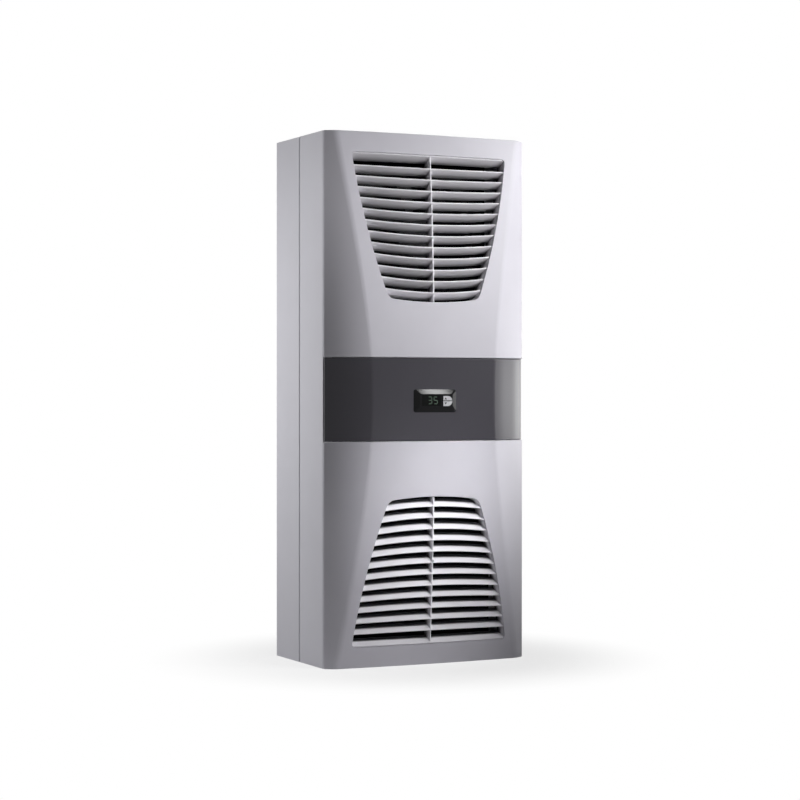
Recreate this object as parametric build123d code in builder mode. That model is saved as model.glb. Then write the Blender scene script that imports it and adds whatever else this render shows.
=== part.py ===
"""Wall-mounted cooling unit for an electrical enclosure.

A shallow steel chassis bolts to the enclosure's wall and holds the inner air circuit.
A steel hood covers the outer circuit. Its front is three mouldings, bowed in height
and in width and bevelled beside both corners: two covers, each with a louvred grille,
and a dark panel in the band between them that carries the controller.

Frame: X to the right seen from the front, Y to the rear, Z up, millimetres.
The origin is at floor level under the middle of the unit's box.
"""

import os
from math import asin, cos, degrees, floor, hypot, radians, sin, sqrt

from build123d import *

# Overall sizes
width = 400.0
height = 950.0
chassis_depth = 105.0  # from the enclosure's wall to the seam
hood_side_depth = 103.5  # flat sides of the hood, from the seam to the groove
seam_gap = 2.5  # shadow line between the chassis and the hood, filled by a seal
corner_groove = 2.5  # shadow line between the hood and the front covers
cover_land = 2.0  # flat edge of the covers behind the bevel
front_rise = 40.0  # how far the bowed front stands out from the corners

# Sheet metal
seal_inset = 4.0  # the seal in the seam lies this far inside the skin
seal_width = 12.0
chassis_sheet = 1.5
hood_sheet = 1.5
bulkhead_sheet = 1.5
flange_width = 18.0
fold_radius = 0.5  # inside of a fold
panel_edge_radius = 1.2  # rear edges of the chassis
fit_gap = 0.3  # clearance between pieces that sit in one another

# Bowed front
rise_bow = 21.1  # how far the face falls back at the top and the bottom
plan_bow = 8.3  # how far it falls back at the sides
bevel_radius = 214.0  # the bevel beside each corner is rounded outwards
bevel_angle = 36.9  # degrees between the bevel at the corner and the front
crease_radius = 24.0  # rounding where the bevel meets the bowed face
cover_edge_radius = 1.2
band_edge_radius = 1.8  # edges of the covers along the band
cover_wall = 3.0
seat_inset = 3.5  # rim behind a cover that rests on the hood, set in by this much
seat_wall = 3.0

# Dark band across the middle
band_height = 149.0
band_recess = 1.5
band_gap = 0.8
panel_wall = 2.5
band_panel_edge_radius = 0.8

# Louvred grilles
grille_end_margin = 36.5  # from the wide end to the end of the unit
grille_wide_margin = 45.5  # from the wide corners to the unit's sides
grille_band_margin = 105.0  # from the narrow corners to the band
grille_narrow_margin = 110.0  # from the narrow corners to the unit's sides
grille_side_bulge = 7.5
grille_narrow_bulge = 6.5
grille_wide_corner = 7.0
grille_narrow_corner = 20.0
grille_rim = 3.5  # wall of the rim, which lies behind the cover
rim_step = 0.8  # the rim's inside lies this far inside the opening
grille_depth = 26.0
grille_flange = 6.0  # seat behind the cover
grille_flange_wall = 2.0
fin_first = 24.7  # from the wide end to the front edge of the first free fin
fin_pitch = 20.24
fin_edge = 2.5  # height of a fin's front edge
fin_edge_radius = 0.9
fin_inset = 1.8
fin_depth = 20.0
fin_drop = 12.0  # how far a fin falls over its depth
fin_bow_radius = 8500.0  # bow of the first fin, halved at the second, a third at the third
rib_wall = 1.8
rib_inset = 2.8
boss_radius = 3.0
boss_bore_radius = 1.3
boss_bore_depth = 8.0
boss_fin = 7  # the screw boss sits under this fin

# Controller
bezel_width = 85.0
bezel_height = 41.0
bezel_stand = 5.4  # how far the bezel stands out from the centre panel
bezel_drop = 2.5  # its centre below the middle of the unit
bezel_corner = 4.0
bezel_lap = 4.0  # how far the bezel laps the panel's cut-out
plateau_width = 66.0  # raised face of the bezel
plateau_height = 22.5
plateau_lift = 1.0
plateau_corner = 2.5
controller_depth = 38.0
pocket_depth = 2.0
pocket_gap = 0.15
window_width = 37.0
window_height = 19.5
window_offset = 10.1  # centre of the window left of the middle
window_corner = 1.0
window_set = 0.3  # the window's face lies this far under the raised face
key_left = 14.3  # straight side of the keypad right of the middle
key_width = 17.5
key_height = 18.0
key_drop = 1.2  # centre of the keypad below the raised face's centre
key_split = 9.0  # width of the up and down keys
key_gap = 0.6
key_proud = 0.6

# Rear panel
intake_side = 50.0  # from the unit's sides to the intake
intake_height = 250.0
intake_top = 55.0  # from the top of the unit to the intake
outlet_side = 50.0  # from the unit's sides to the outlet
outlet_height = 150.0
outlet_low = 60.0  # from the floor to the outlet
opening_corner = 8.0
mount_side = 20.0  # mounting holes from the unit's sides
mount_end = 60.0  # and from its ends
mount_hole_radius = 4.2
nut_across = 13.0
nut_height = 6.5
socket_width = 90.0
socket_height = 26.0
socket_depth = 16.0
socket_flange = 5.0
socket_flange_wall = 2.0
socket_poles = 7
pole_width = 8.0
pole_height = 14.0
pole_depth = 10.0
drain_radius = 8.0
drain_bore_radius = 6.0
drain_height = 22.0
drain_flange = 3.0
drain_side = 70.0  # from the unit's right side
drain_back = 40.0  # from the rear panel

# Fans, one on each face of the bulkhead
fan_bore_radius = 112.0
fan_frame_wall = 8.0
fan_frame_corner = 20.0
fan_frame_depth = 30.0
fan_leg_radius = 5.0
fan_leg_inset = 13.0  # from the frame's sides to its legs
evaporator_leg = 29.0
condenser_leg = 52.0
tip_gap = 4.0
hub_radius = 40.0
hub_margin = 4.0  # the hub ends this far inside the frame
hub_edge_radius = 4.0
blade_count = 7
blade_wall = 2.5
blade_root_chord = 30.0
blade_tip_chord = 46.0
blade_root_pitch = 42.0  # degrees from the plane of rotation
blade_tip_pitch = 24.0
guard_rings = 5
guard_wire = 2.5
guard_spokes = 4
guard_inner_radius = 18.0

# Coils, one on each face of the bulkhead
coil_side = 35.0  # from the unit's sides to the coils
coil_height = 300.0
coil_depth = 44.0
coil_low = 22.0  # from the floor to the coil
coil_plate = 2.0
coil_plate_lap = 3.0
coil_fin_pitch = 6.0
coil_fin_gap = 3.0
coil_fin_height = 4.0

# Places that follow from the sizes
keys_proud = bezel_stand - band_recess + key_proud
sides_depth = chassis_depth + seam_gap + hood_side_depth + corner_groove + cover_land
depth = sides_depth + front_rise + keys_proud
rear_y = depth / 2
panel_y = rear_y - chassis_sheet
seam_y = rear_y - chassis_depth
hood_back_y = seam_y - seam_gap
hood_front_y = hood_back_y - hood_side_depth
cover_back_y = hood_front_y - corner_groove
corner_y = cover_back_y - cover_land
front_y = corner_y - front_rise
bulkhead_front_y = seam_y + chassis_sheet
bulkhead_rear_y = bulkhead_front_y + bulkhead_sheet
bulkhead_inset = chassis_sheet + fold_radius + fit_gap
half_width = width / 2
intake_width = width - 2 * intake_side
outlet_width = width - 2 * outlet_side
coil_width = width - 2 * coil_side
middle_z = height / 2
band_low = middle_z - band_height / 2
band_high = middle_z + band_height / 2
rise_radius = (middle_z**2 + rise_bow**2) / (2 * rise_bow)
plan_radius = (half_width**2 + plan_bow**2) / (2 * plan_bow)
bevel_x = half_width - bevel_radius * sin(radians(bevel_angle))
bevel_y = corner_y + bevel_radius * cos(radians(bevel_angle))
half_turn_axis = Axis((0, 0, middle_z), (0, 1, 0))
left_plane = Plane((-half_width, 0, height), x_dir=(0, 1, 0), z_dir=(0, 0, -1))
right_plane = Plane((half_width, 0, 0), x_dir=(0, 1, 0), z_dir=(0, 0, 1))
top_plane = Plane((half_width, 0, height), x_dir=(0, 1, 0), z_dir=(-1, 0, 0))
base_plane = Plane((-half_width, 0, 0), x_dir=(0, 1, 0), z_dir=(1, 0, 0))
mount_pitch_x = width - 2 * mount_side
mount_pitch_z = middle_z - mount_end
drain_x = half_width - drain_side
drain_y = panel_y - drain_back
fan_z = height - intake_top - intake_height / 2
coil_z = coil_low + coil_height / 2
grille_wide_z = height - grille_end_margin
grille_wide_x = half_width - grille_wide_margin
narrow_corner_z = band_high + grille_band_margin
narrow_corner_x = half_width - grille_narrow_margin
grille_narrow_z = narrow_corner_z - grille_narrow_bulge
narrow_arc_radius = narrow_corner_x**2 / (2 * grille_narrow_bulge) + grille_narrow_bulge / 2
narrow_arc_z = grille_narrow_z + narrow_arc_radius
side_run = grille_wide_x - narrow_corner_x
side_rise = grille_wide_z - narrow_corner_z
side_chord = hypot(side_run, side_rise)
side_arc_radius = side_chord**2 / (8 * grille_side_bulge) + grille_side_bulge / 2
side_reach = side_arc_radius - grille_side_bulge
side_arc_x = (grille_wide_x + narrow_corner_x) / 2 - side_reach * side_rise / side_chord
side_arc_z = (grille_wide_z + narrow_corner_z) / 2 + side_reach * side_run / side_chord
fin_slope = fin_drop / fin_depth
fin_room = grille_wide_z - fin_first - grille_narrow_z - rim_step - 2 * fin_edge
fin_count = floor(fin_room / fin_pitch) + 1
fin_heights = [grille_wide_z - fit_gap - fin_edge / 2]
fin_heights += [grille_wide_z - fin_first - fin_pitch * index for index in range(fin_count)]
boss_z = fin_heights[boss_fin] - boss_radius
boss_face_y = rise_radius - sqrt(rise_radius**2 - (boss_z - middle_z) ** 2)
boss_bore_end = boss_face_y + rib_inset + boss_bore_depth
bezel_z = middle_z - bezel_drop
plateau_z = bezel_z + plateau_lift
key_middle = plateau_z - key_drop
key_top = key_middle + key_height / 2
key_bottom = key_middle - key_height / 2
key_bend = key_left + key_width - key_height / 2

os.makedirs("parts", exist_ok=True)


def bowed_block(inset, low, high, back):
    """Solid from a back plane to the bowed and bevelled front, set in from the skin."""
    margin = front_rise / 4
    reach = half_width + margin
    side_x = half_width - inset
    radius = bevel_radius - inset
    side_y = bevel_y - sqrt(radius**2 - (side_x - bevel_x) ** 2)
    middle_x = bevel_x + radius * sin(radians(bevel_angle / 2))
    middle_y = bevel_y - radius * cos(radians(bevel_angle / 2))
    nose_y = bevel_y - radius
    angle = asin((middle_z + margin) / (rise_radius - depth))
    centre = (0, front_y + rise_radius, middle_z)
    nose = inset - rise_radius
    shoulder = nose + (plan_radius - inset) - sqrt((plan_radius - inset) ** 2 - reach**2)
    tail = back - centre[1] + 2 * rise_bow
    with BuildPart() as block:
        with BuildSketch(Plane.XY.offset(low)):
            with BuildLine():
                Polyline((-side_x, side_y), (-side_x, back), (side_x, back), (side_x, side_y))
                ThreePointArc((side_x, side_y), (middle_x, middle_y), (bevel_x, nose_y))
                Line((bevel_x, nose_y), (-bevel_x, nose_y))
                ThreePointArc((-bevel_x, nose_y), (-middle_x, middle_y), (-side_x, side_y))
            make_face()
        extrude(amount=high - low)
        with BuildSketch(Plane(centre, x_dir=(1, 0, 0), z_dir=(0, sin(angle), cos(angle)))):
            with BuildLine():
                ThreePointArc((-reach, shoulder), (0, nose), (reach, shoulder))
                Polyline((reach, shoulder), (reach, tail), (-reach, tail), (-reach, shoulder))
            make_face()
        revolve(
            axis=Axis(centre, (1, 0, 0)),
            revolution_arc=2 * degrees(angle),
            mode=Mode.INTERSECT,
        )
    return block.part


def bowed_layer(outer, inner):
    """Layer between two depths under the front's skin, in the upper half of the unit."""
    outside = bowed_block(outer, middle_z, height, seam_y)
    inside = bowed_block(inner, middle_z, height, seam_y)
    with BuildPart() as layer:
        add(outside)
        add(inside, mode=Mode.SUBTRACT)
    return layer.part


def front_shell(inset, wall, low, high, low_edge, high_edge):
    """Bowed and bevelled tray, open at the back, with a seat rim that rests on the hood."""
    seat_width = width - 2 * seat_inset
    seat_low = max(low, seat_inset)
    seat_high = min(high, height - seat_inset)
    outside = bowed_block(inset, low, high, cover_back_y)
    inside = bowed_block(inset + wall, low + wall, high - wall, seam_y)

    def is_upright(edge):
        return edge.bounding_box().size.Z > (high - low) / 2

    with BuildPart() as shell:
        add(outside)
        fillet(shell.edges().filter_by(is_upright).sort_by(Axis.Y)[2:4], radius=cover_edge_radius)
        fillet(shell.edges().filter_by(is_upright).sort_by(Axis.Y)[:2], radius=crease_radius)
        for level, radius in ((low, low_edge), (high, high_edge)):
            end_face = shell.faces().filter_by(Axis.Z).sort_by(lambda f: abs(f.center().Z - level))[0]
            fillet(end_face.edges().sort_by(Axis.Y)[:-1], radius=radius)
        add(inside, mode=Mode.SUBTRACT)
        with BuildSketch(Plane.XZ.offset(-corner_y)):
            with Locations((0, (seat_low + seat_high) / 2)):
                Rectangle(seat_width, seat_high - seat_low)
                Rectangle(
                    seat_width - 2 * seat_wall,
                    seat_high - seat_low - 2 * seat_wall,
                    mode=Mode.SUBTRACT,
                )
        extrude(amount=-cover_land - corner_groove)
    return shell.part


def grille_outline(grow):
    """Outline of the upper grille on the XZ plane, grown outwards all round."""
    with BuildSketch(Plane.XZ) as outline:
        with Locations((0, grille_wide_z + grow)):
            Rectangle(2 * width, height, align=(Align.CENTER, Align.MAX))
        for side in (-1, 1):
            with Locations((side * side_arc_x, side_arc_z)):
                Circle(side_arc_radius + grow, mode=Mode.INTERSECT)
        with Locations((0, narrow_arc_z)):
            Circle(narrow_arc_radius + grow, mode=Mode.INTERSECT)
        fillet(outline.vertices().sort_by(Axis.Y)[:2], radius=grille_narrow_corner + grow)
        fillet(outline.vertices().sort_by(Axis.Y)[-2:], radius=grille_wide_corner + grow)
    return outline.sketch


def grille_block(grow):
    """Straight block through the front with the grille's outline."""
    outline = grille_outline(grow)
    with BuildPart() as block:
        extrude(outline, amount=depth, both=True)
    return block.part


def folded_sheet(plane, length, start, end, sheet, folds, notch):
    """Sheet along one side of the unit with its front edge, or both edges, folded inwards."""
    hollow_end = end - sheet * (folds - 1)
    with BuildPart() as folded:
        with BuildSketch(plane) as section:
            with Locations((start, 0)):
                Rectangle(end - start, flange_width, align=(Align.MIN, Align.MIN))
            with Locations((start + sheet, sheet)):
                Rectangle(
                    hollow_end - start - sheet,
                    flange_width,
                    align=(Align.MIN, Align.MIN),
                    mode=Mode.SUBTRACT,
                )
            inside = section.vertices().group_by(Axis.Y)[1].sort_by(Axis.X)
            fillet(inside[:folds], radius=fold_radius)
            outside = section.vertices().group_by(Axis.Y)[0].sort_by(Axis.X)
            fillet(outside[:folds], radius=fold_radius + sheet)
        extrude(amount=length)
        if notch:
            for base in (plane, plane.offset(length - notch)):
                with BuildSketch(base):
                    with Locations((start, sheet)):
                        Rectangle(end - start, flange_width, align=(Align.MIN, Align.MIN))
                extrude(amount=notch, mode=Mode.SUBTRACT)
    return folded.part


def keypad_outline(grow):
    """Outline of the keypad on the raised face: straight on the left, round on the right."""
    with BuildSketch() as outline:
        with Locations((key_left - grow, key_middle)):
            Rectangle(
                key_bend - key_left + grow,
                key_height + 2 * grow,
                align=(Align.MIN, Align.CENTER),
            )
        with Locations((key_bend, key_middle)):
            Circle(key_height / 2 + grow)
    return outline.sketch


def fan_frame(plane, leg):
    """Square fan frame that stands on four legs."""
    size = 2 * (fan_bore_radius + fan_frame_wall)
    with BuildPart() as fan:
        with BuildSketch(plane.offset(leg)):
            RectangleRounded(size, size, fan_frame_corner)
            Circle(fan_bore_radius, mode=Mode.SUBTRACT)
        extrude(amount=fan_frame_depth)
        with BuildSketch(plane):
            with GridLocations(size - 2 * fan_leg_inset, size - 2 * fan_leg_inset, 2, 2):
                Circle(fan_leg_radius)
        extrude(amount=leg)
    return fan.part


def fan_rotor(plane, leg):
    """Motor hub that stands on the bulkhead, with twisted blades round its free end."""
    hub_height = leg + fan_frame_depth - hub_margin
    blade_middle = leg + fan_frame_depth / 2
    tip_radius = fan_bore_radius - tip_gap
    with BuildPart() as rotor:
        with BuildSketch(plane):
            Circle(hub_radius)
        extrude(amount=hub_height)
        fillet(rotor.faces().sort_by(Axis(plane.origin, plane.z_dir))[-1].edges(), hub_edge_radius)
        for index in range(blade_count):
            turn = radians(360 * index / blade_count)
            outward = plane.x_dir * cos(turn) + plane.y_dir * sin(turn)
            along = plane.z_dir.cross(outward)
            for radius, chord, pitch in (
                (hub_radius - blade_wall, blade_root_chord, blade_root_pitch),
                (tip_radius, blade_tip_chord, blade_tip_pitch),
            ):
                middle = plane.origin + plane.z_dir * blade_middle + outward * radius
                with BuildSketch(Plane(middle, x_dir=along, z_dir=outward)):
                    Rectangle(chord, blade_wall, rotation=pitch)
            loft()
    return rotor.part


def coil(plane):
    """Finned heat exchanger block between two end plates."""
    fin_count = floor(coil_width / coil_fin_pitch) - 1
    with BuildPart() as block:
        with BuildSketch(plane):
            Rectangle(coil_width, coil_height)
        extrude(amount=coil_depth)
        with BuildSketch(plane.offset(coil_depth)):
            with GridLocations(coil_fin_pitch, 1, fin_count, 1):
                Rectangle(coil_fin_gap, coil_height)
        extrude(amount=-coil_fin_height, mode=Mode.SUBTRACT)
        with BuildSketch(plane):
            with GridLocations(coil_width - coil_plate, 1, 2, 1):
                Rectangle(coil_plate, coil_height + 2 * coil_plate_lap)
        extrude(amount=coil_depth + coil_plate_lap)
    return block.part


# Chassis
with BuildPart() as back_panel:
    with BuildSketch(Plane.XZ.offset(-rear_y)):
        with Locations((0, middle_z)):
            Rectangle(width, height)
        with Locations((0, fan_z)):
            RectangleRounded(intake_width, intake_height, opening_corner, mode=Mode.SUBTRACT)
        with Locations((0, outlet_low + outlet_height / 2)):
            RectangleRounded(outlet_width, outlet_height, opening_corner, mode=Mode.SUBTRACT)
        with Locations((0, middle_z)):
            Rectangle(
                socket_width + 2 * fit_gap, socket_height + 2 * fit_gap, mode=Mode.SUBTRACT
            )
            with GridLocations(mount_pitch_x, mount_pitch_z, 2, 3):
                Circle(mount_hole_radius, mode=Mode.SUBTRACT)
    extrude(amount=chassis_sheet)
    rear_rim = back_panel.faces().sort_by(Axis.Y)[-1].outer_wire()
    fillet(rear_rim.edges(), radius=panel_edge_radius)
back_panel.part.label = "chassis_back_panel"
export_step(back_panel.part, "parts/chassis_back_panel.step")

notch_length = flange_width + fit_gap
for name, plane, length, notch in (
    ("left_wall", left_plane, height, notch_length),
    ("right_wall", right_plane, height, notch_length),
    ("top", top_plane, width - 2 * chassis_sheet, 0),
    ("base", base_plane, width - 2 * chassis_sheet, 0),
):
    inner_plane = plane if notch else plane.offset(chassis_sheet)
    folded = folded_sheet(inner_plane, length, seam_y, panel_y, chassis_sheet, 1, notch)
    with BuildPart() as wall:
        add(folded)
        if name == "base":
            with Locations((drain_x, drain_y, 0)):
                Cylinder(drain_radius + fit_gap, 4 * chassis_sheet, mode=Mode.SUBTRACT)
    wall.part.label = f"chassis_{name}"
    export_step(wall.part, f"parts/chassis_{name}.step")

with BuildPart() as bulkhead:
    with BuildSketch(Plane.XZ.offset(-bulkhead_front_y)):
        with Locations((0, middle_z)):
            Rectangle(width - 2 * bulkhead_inset, height - 2 * bulkhead_inset)
    extrude(amount=-bulkhead_sheet)
bulkhead.part.label = "bulkhead"
export_step(bulkhead.part, "parts/bulkhead.step")

with BuildPart() as nuts:
    with BuildSketch(Plane.XZ.offset(-panel_y)):
        with Locations((0, middle_z)):
            with GridLocations(mount_pitch_x, mount_pitch_z, 2, 3):
                RegularPolygon(nut_across / 2, 6, major_radius=False)
            with GridLocations(mount_pitch_x, mount_pitch_z, 2, 3):
                Circle(mount_hole_radius, mode=Mode.SUBTRACT)
    extrude(amount=nut_height)
nuts.part.label = "mounting_nuts"
export_step(nuts.part, "parts/mounting_nuts.step")

with BuildPart() as socket:
    with BuildSketch(Plane.XZ.offset(-rear_y)):
        with Locations((0, middle_z)):
            Rectangle(socket_width, socket_height)
    extrude(amount=socket_depth)
    with BuildSketch(Plane.XZ.offset(-panel_y)):
        with Locations((0, middle_z)):
            Rectangle(socket_width + 2 * socket_flange, socket_height + 2 * socket_flange)
    extrude(amount=socket_flange_wall)
    with BuildSketch(Plane.XZ.offset(-rear_y)):
        with Locations((0, middle_z)):
            with GridLocations(socket_width / socket_poles, 1, socket_poles, 1):
                Rectangle(pole_width, pole_height)
    extrude(amount=pole_depth, mode=Mode.SUBTRACT)
socket.part.label = "connection_socket"
export_step(socket.part, "parts/connection_socket.step")

with BuildPart() as drain:
    with BuildSketch():
        with Locations((drain_x, drain_y)):
            Circle(drain_radius)
    extrude(amount=drain_height)
    with BuildSketch(Plane.XY.offset(chassis_sheet)):
        with Locations((drain_x, drain_y)):
            Circle(drain_radius + drain_flange)
    extrude(amount=drain_flange)
    with BuildSketch():
        with Locations((drain_x, drain_y)):
            Circle(drain_bore_radius)
    extrude(amount=drain_height, mode=Mode.SUBTRACT)
drain.part.label = "condensate_drain"
export_step(drain.part, "parts/condensate_drain.step")

# Hood
for name, plane, length, notch in (
    ("left_side", left_plane, height, notch_length),
    ("right_side", right_plane, height, notch_length),
    ("top", top_plane, width - 2 * hood_sheet, 0),
    ("bottom", base_plane, width - 2 * hood_sheet, 0),
):
    inner_plane = plane if notch else plane.offset(hood_sheet)
    sheet = folded_sheet(inner_plane, length, hood_front_y, hood_back_y, hood_sheet, 2, notch)
    sheet.label = f"hood_{name}"
    export_step(sheet, f"parts/hood_{name}.step")

with BuildPart() as seal:
    with BuildSketch(Plane.XZ.offset(-seam_y)):
        with Locations((0, middle_z)):
            Rectangle(width - 2 * seal_inset, height - 2 * seal_inset)
            Rectangle(
                width - 2 * seal_inset - 2 * seal_width,
                height - 2 * seal_inset - 2 * seal_width,
                mode=Mode.SUBTRACT,
            )
    extrude(amount=seam_gap)
seal.part.label = "seam_seal"
export_step(seal.part, "parts/seam_seal.step")

# Front covers: the lower one is the upper one turned half round
cover_shell = front_shell(0, cover_wall, band_high, height, band_edge_radius, cover_edge_radius)
opening = grille_block(0)
with BuildPart() as upper_cover:
    add(cover_shell)
    add(opening, mode=Mode.SUBTRACT)
upper_cover.part.label = "upper_front_cover"
export_step(upper_cover.part, "parts/upper_front_cover.step")

with BuildPart() as lower_cover:
    add(upper_cover.part.rotate(half_turn_axis, 180))
lower_cover.part.label = "lower_front_cover"
export_step(lower_cover.part, "parts/lower_front_cover.step")

# Centre panel with the controller's cut-out
panel_shell = front_shell(
    band_recess,
    panel_wall,
    band_low + band_gap,
    band_high - band_gap,
    band_panel_edge_radius,
    band_panel_edge_radius,
)
with BuildPart() as centre_panel:
    add(panel_shell)
    with BuildSketch(Plane.XZ.offset(-front_y)):
        with Locations((0, bezel_z)):
            Rectangle(bezel_width - 2 * bezel_lap, bezel_height - 2 * bezel_lap)
    extrude(amount=-front_rise, mode=Mode.SUBTRACT)
centre_panel.part.label = "centre_panel"
export_step(centre_panel.part, "parts/centre_panel.step")

# Louvred grilles: rim, seat, fins, rib and screw boss in one moulding
seat_depth = cover_wall + fit_gap
rim_layer = bowed_layer(seat_depth, grille_depth)
rim_block = grille_block(grille_rim)
rim_hole = grille_block(-rim_step)
with BuildPart() as rim:
    add(rim_layer)
    add(rim_block, mode=Mode.INTERSECT)
    add(rim_hole, mode=Mode.SUBTRACT)

seat_layer = bowed_layer(seat_depth, seat_depth + grille_flange_wall)
seat_block = grille_block(grille_flange)
with BuildPart() as seat:
    add(seat_layer)
    add(seat_block, mode=Mode.INTERSECT)
    add(rim_hole, mode=Mode.SUBTRACT)

fin_layer = bowed_layer(fin_inset, fin_inset + fin_depth)
fin_block = grille_block(-fit_gap)
with BuildPart() as fins:
    with BuildSketch(Plane.XZ.offset(-front_y)):
        for index, fin_z in enumerate(fin_heights):
            face_y = rise_radius - sqrt(rise_radius**2 - (fin_z - middle_z) ** 2)
            low_z = fin_z + fin_slope * (face_y + fin_inset) - fin_edge / 2
            bow = index / fin_bow_radius + fin_slope / plan_radius
            end_z = low_z + bow * half_width**2 / 2
            with BuildLine():
                ThreePointArc((-half_width, end_z), (0, low_z), (half_width, end_z))
                Line((half_width, end_z), (half_width, end_z + fin_edge))
                ThreePointArc(
                    (half_width, end_z + fin_edge),
                    (0, low_z + fin_edge),
                    (-half_width, end_z + fin_edge),
                )
                Line((-half_width, end_z + fin_edge), (-half_width, end_z))
            make_face()
    extrude(amount=depth / 2, dir=(0, 1, -fin_slope))
    add(fin_layer, mode=Mode.INTERSECT)
    lips = ShapeList()
    for fin in fins.solids():
        lips += fin.faces().sort_by(Axis.Y)[0].edges().sort_by(Edge.length)[-2:]
    fillet(lips, radius=fin_edge_radius)
    add(fin_block, mode=Mode.INTERSECT)

rib_layer = bowed_layer(rib_inset, grille_depth)
with BuildPart() as rib:
    with BuildSketch(Plane.XZ.offset(-front_y)):
        with Locations((0, (middle_z + height) / 2)):
            Rectangle(rib_wall, middle_z)
        with Locations((0, boss_z)):
            Circle(boss_radius)
    extrude(amount=-depth / 2)
    add(fin_block, mode=Mode.INTERSECT)
    add(rib_layer, mode=Mode.INTERSECT)
    with BuildSketch(Plane.XZ.offset(-front_y)):
        with Locations((0, boss_z)):
            Circle(boss_bore_radius)
    extrude(amount=-boss_bore_end, mode=Mode.SUBTRACT)

with BuildPart() as upper_grille:
    add(rim.part)
    add(seat.part)
    add(fins.part)
    add(rib.part)
upper_grille.part.label = "upper_grille"
export_step(upper_grille.part, "parts/upper_grille.step")

with BuildPart() as lower_grille:
    add(upper_grille.part.rotate(half_turn_axis, 180))
lower_grille.part.label = "lower_grille"
export_step(lower_grille.part, "parts/lower_grille.step")

# Controller
panel_face = Plane.XZ.offset(-front_y - band_recess)
raised_face = panel_face.offset(bezel_stand)
with BuildPart() as bezel:
    with BuildSketch(panel_face):
        with Locations((0, bezel_z)):
            RectangleRounded(bezel_width, bezel_height, bezel_corner)
    with BuildSketch(raised_face):
        with Locations((0, plateau_z)):
            RectangleRounded(plateau_width, plateau_height, plateau_corner)
    loft()
    with BuildSketch(panel_face):
        with Locations((0, bezel_z)):
            Rectangle(
                bezel_width - 2 * bezel_lap - 2 * fit_gap,
                bezel_height - 2 * bezel_lap - 2 * fit_gap,
            )
    extrude(amount=-controller_depth)
    with BuildSketch(raised_face):
        with Locations((-window_offset, plateau_z)):
            RectangleRounded(
                window_width + 2 * pocket_gap, window_height + 2 * pocket_gap, window_corner
            )
        add(keypad_outline(pocket_gap))
    extrude(amount=-pocket_depth, mode=Mode.SUBTRACT)
bezel.part.label = "controller_bezel"
export_step(bezel.part, "parts/controller_bezel.step")

with BuildPart() as window:
    with BuildSketch(raised_face.offset(-pocket_depth)):
        with Locations((-window_offset, plateau_z)):
            RectangleRounded(window_width, window_height, window_corner)
    extrude(amount=pocket_depth - window_set)
window.part.label = "display_window"
export_step(window.part, "parts/display_window.step")

pad_left = key_left - key_width
pad_right = key_left + key_split
for name, low_corner, high_corner in (
    ("up_key", (pad_left, key_middle + key_gap / 2), (pad_right, key_top + key_gap)),
    ("down_key", (pad_left, key_bottom - key_gap), (pad_right, key_middle - key_gap / 2)),
    (
        "set_key",
        (pad_right + key_gap, key_bottom - key_gap),
        (key_left + 2 * key_width, key_top + key_gap),
    ),
):
    with BuildPart() as key:
        with BuildSketch(raised_face.offset(-pocket_depth)):
            with Locations(low_corner):
                Rectangle(
                    high_corner[0] - low_corner[0],
                    high_corner[1] - low_corner[1],
                    align=(Align.MIN, Align.MIN),
                )
            add(keypad_outline(0), mode=Mode.INTERSECT)
        extrude(amount=pocket_depth + key_proud)
    key.part.label = name
    export_step(key.part, f"parts/{name}.step")

# Air circuits: each has a fan above and a coil below on its face of the bulkhead
circuits = (
    ("evaporator", bulkhead_rear_y, (0, 1, 0), evaporator_leg),
    ("condenser", bulkhead_front_y, (0, -1, 0), condenser_leg),
)
for circuit, face_y, outward, leg in circuits:
    fan_plane = Plane((0, face_y, fan_z), x_dir=(1, 0, 0), z_dir=outward)
    coil_plane = Plane((0, face_y, coil_z), x_dir=(1, 0, 0), z_dir=outward)
    for piece, solid in (
        ("fan_frame", fan_frame(fan_plane, leg)),
        ("fan_rotor", fan_rotor(fan_plane, leg)),
        ("coil", coil(coil_plane)),
    ):
        solid.label = f"{circuit}_{piece}"
        export_step(solid, f"parts/{circuit}_{piece}.step")

guard_y = bulkhead_rear_y + evaporator_leg + fan_frame_depth
with BuildPart() as guard:
    with BuildSketch(Plane.XZ.offset(-guard_y)):
        with Locations((0, fan_z)):
            for index in range(guard_rings):
                share = index / (guard_rings - 1)
                radius = fan_bore_radius + share * (guard_inner_radius - fan_bore_radius)
                Circle(radius + guard_wire)
                Circle(radius, mode=Mode.SUBTRACT)
            with PolarLocations((guard_inner_radius + fan_bore_radius) / 2, guard_spokes):
                Rectangle(fan_bore_radius - guard_inner_radius + guard_wire, guard_wire)
    extrude(amount=-guard_wire)
guard.part.label = "evaporator_fan_guard"
export_step(guard.part, "parts/evaporator_fan_guard.step")
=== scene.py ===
"""Looks of the enclosure cooling unit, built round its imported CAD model.

The CAD nodes get procedural finishes and keep their shapes, apart from the two coils and the fan's
guard, which finer pieces replace. Geometry Nodes make what repeats: screws, coil fins, guard wires
and contact pins. The display's digits are a plain mesh. Metres, in the frame of the CAD model.
"""

import math

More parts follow.
